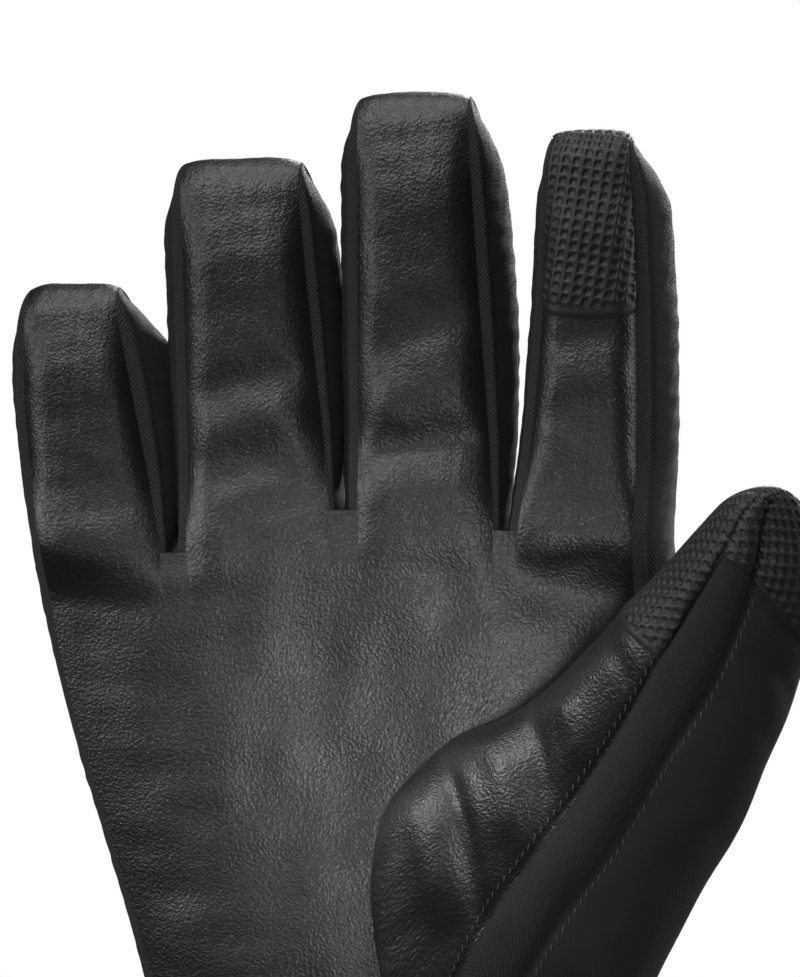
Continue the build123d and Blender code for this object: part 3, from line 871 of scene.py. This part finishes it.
def make_index_patch(finger):
    """The grip patch over the index fingertip's leather."""
    top = N_STRAIGHT - 3 + N_TIP + 3
    z = finger.belt[: N_STRAIGHT, N_ACROSS // 2, 2]
    start = np.interp(PATCH_FOOT, z, np.arange(len(z)))
    v = np.linspace(0, 1, 190)[:, None]
    c = np.linspace(0, N_ACROSS - 1, 110)[None, :]
    bow = 1.6 * (1 - (2 * c / (N_ACROSS - 1) - 1) ** 2)
    R = (start - bow) * (1 - v) + top * v
    P, flat = embossed(finger.belt, R, c + 0 * v, 2.1, 1.3, radians(-9), 0.35, 0.34, 0.0, True)
    place_piece(panel("index_grip_patch", P, GRIP, flat), finger.bend, "upper", ["index_touch_patch"])


# ---------------------------------------------------------------- thumb
# stations from the wrist to the tip, each square to the thumb in the view: view x and height of the inner
# edge, of the twill's two seams and of the outer edge; then the depth, and how far the front stands before it
THUMB = [
    ((-3, 98), (5, 98), (16, 98), (38, 97), -14.0, 4.0),
    ((-6.0, 116), (9.5, 108), (20, 104), (40, 99.5), -14.0, 8.0),
    ((-6.4, 130), (14, 118), (23.5, 111), (43, 102), -14.0, 12.0),
    ((-3.8, 142), (19, 126.6), (27.2, 118.4), (47, 105), -14.2, 17.0),
    ((2.4, 150.2), (24.8, 134.8), (33.7, 128.9), (52.5, 115.5), -15.0, 21.0),
    ((10.2, 157.0), (30.4, 143.1), (39.4, 137.0), (57.0, 125.0), -17.0, 23.5),
    ((20.5, 161.8), (36.0, 151.8), (44.3, 145.8), (61.6, 133.8), -22.5, 22.5),
    ((28.8, 168.4), (40.8, 160.2), (49.0, 154.6), (65.8, 143.2), -32.5, 17.0),
    ((35.7, 175.8), (45.4, 169.0), (54.2, 162.9), (69.0, 153.0), -39.2, 15.5),
    ((42.4, 183.2), (50.3, 178.0), (59.0, 172.0), (72.8, 162.6), -43.4, 15.0),
    ((49.5, 190.5), (55.0, 186.7), (62.8, 181.2), (75.8, 172.8), -47.6, 14.0),
    ((56.1, 198.2), (60.2, 195.2), (65.9, 191.4), (78.7, 183.0), -51.9, 12.0),
    ((61.0, 203.6), (63.4, 201.4), (67.0, 199.4), (78.9, 191.4), -54.8, 9.0),
    ((65.6, 205.8), (66.8, 205.0), (68.6, 204.0), (76.6, 199.2), -57.0, 5.6),
    ((69.4, 206.2), (70.0, 205.8), (70.8, 205.4), (73.6, 204.0), -58.2, 2.2),
    ((71.3, 205.7), (71.4, 205.6), (71.5, 205.5), (71.7, 205.4), -58.6, 0.2),
]
N_STATION = 140
N_LEATHER, N_TWILL, N_NYLON, N_UNDER = 30, 14, 30, 44
SEAM_A = N_LEATHER - 1
SEAM_B = SEAM_A + N_TWILL
OUTER = SEAM_B + N_NYLON - 1
UNDER_NYLON = OUTER + N_UNDER // 2
UNDER_TWILL = UNDER_NYLON + 8


def thumb_grid():
    """The thumb as one tube, whose columns run round it from the inner edge over the front to the back."""
    s = spline([[*inner, *a, *b, *outer, depth, stand]
                for inner, a, b, outer, depth, stand in THUMB], N_STATION)
    inner, a, b, outer = s[:, 0:2], s[:, 2:4], s[:, 4:6], s[:, 6:8]
    depth, stand = s[:, 8], s[:, 9]
    columns = []

    def add(view, y):
        columns.append(np.stack([from_view(view[:, 0], y), y, view[:, 1]], 1))

    quarter = math.pi / 2
    for t in np.linspace(0, 1, N_LEATHER):
        add(inner + (a - inner) * (1 - cos(quarter * t) ** 1.15),
            depth - stand * 0.84 * sin(quarter * t) ** 0.85)
    for t in np.linspace(0, 1, N_TWILL + 1)[1:]:
        add(a + (b - a) * t, depth - stand * (0.84 + 0.13 * (1 - (2 * t - 1) ** 2)))
    for t in np.linspace(0, 1, N_NYLON)[1:]:
        add(b + (outer - b) * sin(quarter * t), depth - stand * (0.84 - 0.84 * (1 - cos(quarter * t))))
    low = np.minimum(stand * 0.95, 13.0)
    for t in np.linspace(0, math.pi, N_UNDER)[1:]:
        add(outer + (inner - outer) * (1 - cos(t)) / 2, depth + low * sin(t) ** 0.8)
    P = np.stack(columns, 1)
    N = normals_of(P)
    index = np.arange(P.shape[1])[None, :]
    seams = np.exp(-((index - SEAM_A) / 1.1) ** 2) + np.exp(-((index - SEAM_B) / 1.1) ** 2)
    view_x = P[..., 0] * cos(VIEW_AZIMUTH) + P[..., 1] * sin(VIEW_AZIMUTH)
    away = np.minimum(smooth(index, 0, 6), 1 - smooth(index, P.shape[1] - 6, P.shape[1]))
    free = 1 - smooth(np.arange(N_STATION)[:, None], N_STATION * 0.86, N_STATION)
    push = 0.4 * noise(P.reshape(-1, 3), 13, 21).reshape(P.shape[:2])
    front = smooth(-N[..., 1], 0.1, 0.5)
    for x0, z0, x1, z1, half, amount in THUMB_CREASES:
        ux, uz = x1 - x0, z1 - z0
        length = math.hypot(ux, uz)
        t = ((view_x - x0) * ux + (P[..., 2] - z0) * uz) / length**2
        off = ((view_x - x0) * uz - (P[..., 2] - z0) * ux) / length + 0.8 * np.sin(3 * t)
        push += (front * amount * np.exp(-(off / half) ** 2) * smooth(t, -0.2, 0.25)
                 * (1 - smooth(t, 0.75, 1.2)))
    return P + N * ((push * away - 0.75 * seams) * free)[..., None]


# the thumb's folds: view x and height of both ends, half width and how far each pushes out
THUMB_CREASES = [
    (7.6, 153, 15.6, 120, 2.4, -1.5), (2.0, 146, 7.0, 122, 3.4, 0.9), (17, 158, 22, 138, 3.0, 1.0),
    (24, 163, 27, 146, 2.2, -1.0), (30, 166, 34, 154, 2.4, 0.6), (38, 178, 43, 168, 2.0, -0.5),
    (60, 168, 70, 158, 2.0, -0.5), (64, 178, 74, 166, 1.6, -0.6), (66, 184, 76, 172, 1.4, 0.5),
    (52, 148, 62, 138, 2.6, -0.5), (66, 190, 74, 176, 1.2, -0.4),
]
THUMB_GRID = thumb_grid()


def make_thumb():
    """Leather, twill, nylon and the hidden underside of the thumb, and the grip patch over its tip."""
    bend = Bend("thumb", "thumb_spread", "thumb_curl", (-14.0, 11.5), 19.5, (27.5, 47.0))
    P = THUMB_GRID
    N = normals_of(P)
    flat = flat_of(P)
    split = int(np.argmin(np.abs(bend.height(P.mean(1)) - bend.split)))
    strips = (("leather", 0, SEAM_A, LEATHER, "leather", "leather"),
              ("twill", SEAM_A, SEAM_B, TWILL, "twill", "gussets"),
              ("nylon", SEAM_B, UNDER_NYLON, NYLON, "nylon", "back"),
              ("inner_twill", UNDER_NYLON, UNDER_TWILL, TWILL, "twill", None),
              ("inner_leather", UNDER_TWILL, P.shape[1] - 1, LEATHER, "leather", None))
    for name, start, stop, material, slot, node in strips:
        cut = slice(start, stop + 1)
        for part, rows in (("lower", slice(0, split + 1)), ("upper", slice(split, N_STATION))):
            obj = panel(f"thumb_{name}_{part}", P[:, cut], material, flat[:, cut],
                        normals=N[:, cut], rows=rows)
            replaced = [f"thumb_{part}_{node}"] if node else []
            if node == "back":
                replaced.append(f"thumb_{part}_liner")
            place_piece(obj, bend, part, replaced)
    foot = row_at(P, bend, 43.0)
    high = row_at(P, bend, 66.0)
    nylon = row_at(P, bend, 60.5)
    last = P.shape[1] - 1
    ends = [(0, foot), (SEAM_A - 0.6, foot - 2.0), (SEAM_A + 1.0, high),
            (SEAM_B - 0.6, high), (SEAM_B + 1.0, high - 1),
            (OUTER - 4, nylon - 2), (OUTER + 10, nylon - 5),
            (UNDER_NYLON, nylon - 6), (UNDER_TWILL, foot), (last, foot)]
    c = np.linspace(0, last, 330)[None, :]
    v = np.linspace(0, 1, 130)[:, None]
    start = np.interp(c, *np.array(ends, float).T)
    R = start + (N_STATION - 1 - start) * v
    Q, patch_flat = embossed(P, R, c + 0 * v, 2.0, 1.25, radians(24), 0.3, 0.34, 0.5, False)
    place_piece(panel("thumb_grip_patch", Q, GRIP, patch_flat), bend, "upper", ["thumb_touch_patch"])
    for name, column, out in (("a", SEAM_A, -1.6), ("b", SEAM_B, 1.6)):
        line = sample(P, np.arange(6, N_STATION - 26, 0.5)[:, None], np.array([[column + out]]))[:, 0]
        normal = sample(N, np.arange(6, N_STATION - 26, 0.5)[:, None], np.array([[column + out]]))[:, 0]
        heights = bend.height(line)
        for part, keep in (("lower", heights <= bend.split), ("upper", heights > bend.split)):
            obj = stitches(f"thumb_seam_{name}_thread_{part}", line[keep], normal[keep], slant=0.6)
            place_piece(obj, bend, part)


def row_at(P, bend, height):
    """The fractional row of a digit's grid at a height above its root joint."""
    heights = bend.height(P.mean(1))
    return float(np.interp(height, heights[N_STATION // 3:], np.arange(N_STATION // 3, N_STATION)))


# ---------------------------------------------------------------- cuff
CUFF_TOP = 81.0
CUFF_SIZE = (128.0, 78.0, 37.0)
CUFF_LOSS = 14.0
N_ROUND = 288


def ring(width, depth, corner, centre=(0.0, 0.0), count=N_ROUND):
    """Points of a rounded rectangle, from the middle of its palm side round by the thumb's side."""
    corner = min(corner, width / 2 - 0.01, depth / 2 - 0.01)
    arcs = [[[0.0, -depth / 2]]]
    for start, sx, sy in ((-90, 1, -1), (0, 1, 1), (90, -1, 1), (180, -1, -1)):
        a = np.radians(np.linspace(start, start + 90, 30))
        arcs.append(np.stack([sx * (width / 2 - corner) + corner * np.cos(a),
                              sy * (depth / 2 - corner) + corner * np.sin(a)], 1))
    arcs.append([[0.0, -depth / 2]])
    return resample(np.vstack(arcs), count + 1) + np.array(centre)


def cuff_ring(z, offset=0.0):
    """The cuff's outline at a height, moved out by an offset."""
    loss = CUFF_LOSS * z / CUFF_TOP - offset
    width, depth, corner = CUFF_SIZE
    return ring(width - 2 * loss, depth - 2 * loss, corner - loss)


def loft(levels):
    """A grid whose rows are rings at heights: levels holds (ring, height) pairs."""
    return np.stack([np.column_stack([points, np.full(len(points), z)]) for points, z in levels])


def shell_grid():
    """The gauntlet's outer fabric, drawn in a little at its seams and its top."""
    levels = []
    for z in np.linspace(2.0, 84.0, 70):
        draw = -0.4 - 1.6 * smooth(z, 78, 84) + 0.5 * sin(math.pi * min(z / CUFF_TOP, 1.0))
        levels.append((cuff_ring(min(z, CUFF_TOP), draw), z))
    return loft(levels)


def make_cuff(front, back):
    """The gauntlet's two panels, its hem and its threads."""
    for name, P, replaced in (("gauntlet_palm_side", front, []),
                              ("gauntlet_back_side", back, ["gauntlet_shell"])):
        attach(panel(name, P, NYLON, flat_of(P)), "cuff", replaced)
    profile = spline([(-5.4, 9.5), (-5.6, 3.0), (-4.6, 0.6), (-2.2, 0.05), (0.1, 0.5), (1.0, 2.4), (1.1, 6.2),
                      (0.8, 8.4), (-0.6, 9.3)], 36)
    hem = loft([(cuff_ring(z, out), z) for out, z in profile])
    hem += normals_of(hem) * (0.14 * noise(hem.reshape(-1, 3), 7, 31).reshape(hem.shape[:2]))[..., None]
    hem[..., 2] = np.maximum(hem[..., 2], 0.0)
    attach(panel("hem_band", hem, TWILL_EDGE, flat_of(hem)), "cuff", ["hem_binding"])
    around = cuff_ring(7.2, 1.15)
    line = np.column_stack([around, np.full(len(around), 7.2)])
    outward = normals_of(loft([(cuff_ring(6.0), 6.0), (cuff_ring(8.0), 8.0)]))[0]
    attach(stitches("hem_thread", resample(line, 900), resample(outward, 900)), "cuff")
    for side, column in (("thumb", N_ROUND // 4), ("little", 3 * N_ROUND // 4)):
        for lean in (-3, 3):
            up = np.linspace(9.5, 79, 200)
            points = np.array([[*cuff_ring(z, 0.12)[column + lean], z] for z in up])
            out = np.tile([1.0 if side == "thumb" else -1.0, 0, 0.1], (len(points), 1))
            word = "front" if (lean < 0) == (side == "thumb") else "rear"
            attach(stitches(f"gauntlet_{side}_thread_{word}", points, out), "cuff")


def make_wrist():
    """The gathered elastic between the cuff and the hand."""
    levels = []
    for z in np.linspace(WRIST_LOW, WRIST_HIGH, 80):
        t = (z - WRIST_LOW) / (WRIST_HIGH - WRIST_LOW)
        waist = 1.6 * sin(math.pi * t)
        levels.append((ring(94.5 - 2.0 * t - 2 * waist, 44.5 - 9.5 * t - 2 * waist, 20.0 - 3.0 * t,
                            (-1.4 * t, 1.6 * t)), z))
    E = loft(levels)
    angle = np.linspace(0, 2 * math.pi, E.shape[1])[None, :]
    rows = E[..., 2]
    gather = (0.55 * np.sin(58 * angle + 1.1 * np.sin(5 * angle) + 0.35 * np.sin(rows))
              * np.sin(math.pi * (rows - WRIST_LOW) / (WRIST_HIGH - WRIST_LOW)))
    shirr = 0.75 * np.cos(2 * math.pi * (rows - WRIST_LOW) / SHIRR_PITCH)
    E += normals_of(E) * (gather + shirr)[..., None]
    E[:, -1] = E[:, 0]
    attach(panel("wrist_gathers", E, NYLON, flat_of(E)), ("cuff", "hand"), ["wrist_elastic"],
           WRIST_TURN)


def make_lining():
    """The fleece inside the cuff and the wrist, closed off inside the palm."""
    levels = [(cuff_ring(z, -5.2), z) for z in np.linspace(3.0, 78.0, 60)]
    for z in np.linspace(80.0, 150.0, 50):
        t = (z - 80.0) / 70.0
        levels.append((ring(86.0 - 16 * t**0.5, 34.0 - 14.0 * t**0.5, 15.0 - 5.0 * t, (-1.4, 1.5)), z))
    for t in (0.55, 0.2, 0.02):
        levels.append((ring(70.0 * t, 20.0 * t, 10.0 * t, (-1.4, 1.5)), 150.0 + 4 * (1 - t)))
    F = loft(levels)
    F += normals_of(F) * (0.35 * noise(F.reshape(-1, 3), 5, 41, 3).reshape(F.shape[:2]))[..., None]
    F[:, -1] = F[:, 0]
    lining = panel("fleece_lining", F, FLEECE, flat_of(F), turn=True)
    attach(lining, ("cuff", "hand"), ["gauntlet_lining"], WRIST_TURN)


def slab(name, line, wide, width, thick, material):
    """A tape along a line: wide is the direction across it. Its edges and ends are rounded."""
    line = np.asarray(line, float)
    along = np.gradient(line, axis=0)
    along /= np.linalg.norm(along, axis=1, keepdims=True)
    up = np.cross(wide, along)
    angle = np.linspace(0, 2 * math.pi, 57)
    across = np.sign(np.cos(angle)) * np.abs(np.cos(angle)) ** 0.25 * width / 2
    raise_ = np.sign(np.sin(angle)) * np.abs(np.sin(angle)) ** 0.5 * thick / 2
    step = np.linspace(0, 1, len(line))
    end = np.sqrt(np.clip(1 - (np.abs(2 * step - 1) ** 60), 1e-4, 1))
    P = (line[:, None] + np.array(wide)[None, None] * (across[None, :] * end[:, None] ** 0.3)[..., None]
         + up[:, None] * (raise_[None, :] * end[:, None])[..., None])
    run = np.r_[0, np.cumsum(np.linalg.norm(np.diff(line, axis=0), axis=1))]
    flat = np.stack([across[None, :] + 0 * run[:, None], run[:, None] + 0 * across[None, :],
                     0 * P[..., 0]], 2)
    return panel(name, P, material, flat, turn=True)


def make_strap():
    """The cuff's strap and its pull tab, with stitched ends, and the materials of the rigid pieces."""
    lean = math.atan(CUFF_LOSS / CUFF_TOP)
    out = np.array([0, cos(lean), sin(lean)])
    up = np.array([0, -sin(lean), cos(lean)])
    foot = np.array([0, CUFF_SIZE[1] / 2 - CUFF_LOSS * STRAP_Z / CUFF_TOP, STRAP_Z])

    def across(x0, x1, offset, count=90):
        return [foot + out * offset + np.array([x, 0, 0]) for x in np.linspace(x0, x1, count)]

    attach(slab("cuff_strap", across(-27, 27, 1.0), up, 22.0, 1.6, WEBBING), "cuff", ["strap"])
    attach(slab("pull_tab", across(20, -26, 4.6), up, 20.0, 1.5, WEBBING), "tab", ["strap_tab"])
    for name, x, offset, body, height in (("strap_thread_little", -24.5, 1.85, "cuff", 19.0),
                                          ("strap_thread_thumb", 24.5, 1.85, "cuff", 19.0),
                                          ("tab_thread", -23.0, 5.4, "tab", 17.0)):
        path = [foot + out * offset + np.array([x, 0, 0]) + up * h
                for h in np.linspace(-height / 2, height / 2, 60)]
        attach(stitches(name, np.array(path), np.tile(out, (60, 1))), body)
    for node, material in (("strap_ring", PLASTIC), ("pairing_clip", PLASTIC), ("clip_loop", TAPE),
                           ("strap_loop_field", HOOKS), ("tab_hook_patch", HOOKS)):
        slots = frame["nodes"][node].data.materials
        slots.clear()
        slots.append(material)


# ---------------------------------------------------------------- making everything
for finger in FINGERS.values():
    height = 26.0 if finger.name == "little" else np.linalg.norm(
        joint_at(finger.name + "_middle_bend") - joint_at(finger.name + "_knuckle_bend"))
    finger.bend = Bend(finger.name, finger.name + "_knuckle_bend", finger.name + "_middle_bend",
                       (1.0, 16.8), 20.0, (23.2, max(height + 10.0, 36.0)))
TOP_ROW = N_STRAIGHT - 3 + N_TIP
SHELL = shell_grid()
QUARTER = N_ROUND // 4
shell_back = SHELL[:, QUARTER:3 * QUARTER + 1]
shell_front = np.concatenate([SHELL[:, 3 * QUARTER:-1], SHELL[:, :QUARTER + 1]], 1)
soft = [(BACK, True)] + [(FINGERS[name].belt[TOP_ROW:], False) for name in ORDER]
soft += [(shell_front, False), (shell_back, False)]
swollen = inflate(soft)
make_hand(swollen[0])
for name, back in zip(ORDER, swollen[1:5]):
    make_finger(FINGERS[name], back)
make_index_patch(FINGERS["index"])
make_thumb()
make_cuff(swollen[5], keep_flat(shell_back, swollen[6]))
make_wrist()
make_lining()
make_strap()


# ---------------------------------------------------------------- camera, lights and floor
VIEW_HEIGHT = 0.1954  # metres that the picture spans at the glove
VIEW_TOP = 0.304
CAMERA_SHIFT = 0.0004
LENS, SENSOR = 200.0, 36.0
WORLD_DIFFUSE, WORLD_GLOSSY = 0.55, 0.02
FLOOR_RADIUS, FLOOR_SIDES = 1200, 64


def set_stage():
    """The camera at the photograph's angle, soft studio light and a plain pale floor."""
    scene = bpy.context.scene
    scene.view_settings.view_transform = "Standard"
    distance = VIEW_HEIGHT * LENS / SENSOR
    target = Vector((0.0, 0.0, VIEW_TOP - VIEW_HEIGHT / 2))
    side = Vector((cos(VIEW_AZIMUTH), sin(VIEW_AZIMUTH), 0))
    toward = Vector((sin(VIEW_AZIMUTH), -cos(VIEW_AZIMUTH), 0))
    camera = bpy.data.objects.new("camera", bpy.data.cameras.new("camera"))
    camera.data.lens = LENS
    camera.data.sensor_width = SENSOR
    camera.location = target + toward * distance - side * CAMERA_SHIFT
    camera.rotation_euler = (-toward).to_track_quat("-Z", "Y").to_euler()
    scene.collection.objects.link(camera)
    scene.camera = camera

    def area(name, place, aim, size, power):
        data = bpy.data.lights.new(name, "AREA")
        data.shape = "RECTANGLE"
        data.size, data.size_y = size
        add_light(data, place, aim, power)

    def spot(name, place, aim, radius, cone, power):
        data = bpy.data.lights.new(name, "SPOT")
        data.shadow_soft_size = radius
        data.spot_size = cone
        data.spot_blend = 1.0
        add_light(data, place, aim, power)

    def add_light(data, place, aim, power):
        light = bpy.data.objects.new(data.name, data)
        data.energy = power
        light.location = place
        light.visible_camera = False
        light.rotation_euler = (Vector(aim) - Vector(place)).to_track_quat("-Z", "Y").to_euler()
        scene.collection.objects.link(light)

    area("key", (-0.30, -0.75, 0.98), (0, 0, 0.19), (0.5, 0.4), 6.5)
    spot("front", (0.085, -0.50, 0.118), (-0.002, 0, 0.156), 0.055, radians(17), 10.0)
    spot("thumb_side", (-0.51, -0.27, 0.34), (0.016, -0.036, 0.15), 0.05, radians(11), 13.0)
    area("side", (-0.95, -0.62, 0.42), (0, 0, 0.15), (0.35, 0.35), 4.0)
    area("top", (0.0, -0.05, 1.2), (0, 0, 0.2), (0.7, 0.7), 6.0)
    area("rim", (0.3, 0.95, 0.6), (0, 0, 0.2), (0.7, 0.7), 22.0)
    area("right", (1.15, 0.35, 0.45), (0, 0, 0.15), (0.6, 0.6), 7.0)

    world = bpy.data.worlds.new("studio")
    world.use_nodes = True
    tree = world.node_tree
    tree.nodes.clear()
    out = tree.nodes.new("ShaderNodeOutputWorld")
    mix = tree.nodes.new("ShaderNodeMixShader")
    path = tree.nodes.new("ShaderNodeLightPath")
    soft = tree.nodes.new("ShaderNodeBackground")
    white = tree.nodes.new("ShaderNodeBackground")
    soft.inputs[0].default_value = (1, 1, 1, 1)
    level = tree.nodes.new("ShaderNodeMapRange")
    level.inputs[3].default_value = WORLD_GLOSSY
    level.inputs[4].default_value = WORLD_DIFFUSE
    tree.links.new(path.outputs["Is Diffuse Ray"], level.inputs[0])
    tree.links.new(level.outputs[0], soft.inputs[1])
    white.inputs[0].default_value = (1, 1, 1, 1)
    white.inputs[1].default_value = 1.0
    tree.links.new(path.outputs["Is Camera Ray"], mix.inputs[0])
    tree.links.new(soft.outputs[0], mix.inputs[1])
    tree.links.new(white.outputs[0], mix.inputs[2])
    tree.links.new(mix.outputs[0], out.inputs[0])
    scene.world = world

    turns = np.linspace(0, 2 * math.pi, FLOOR_SIDES, endpoint=False)
    rim = [(FLOOR_RADIUS * cos(a), FLOOR_RADIUS * sin(a), -0.3) for a in turns]
    floor_mat = position_material("floor", (0.86, 0.86, 0.86), (0.9, 0.9, 0.9), 12.0, (0.8, 0.7), 0.0001)
    floor = new_object("floor", rim, [list(range(FLOOR_SIDES))], floor_mat)
    floor.visible_glossy = False


set_stage()
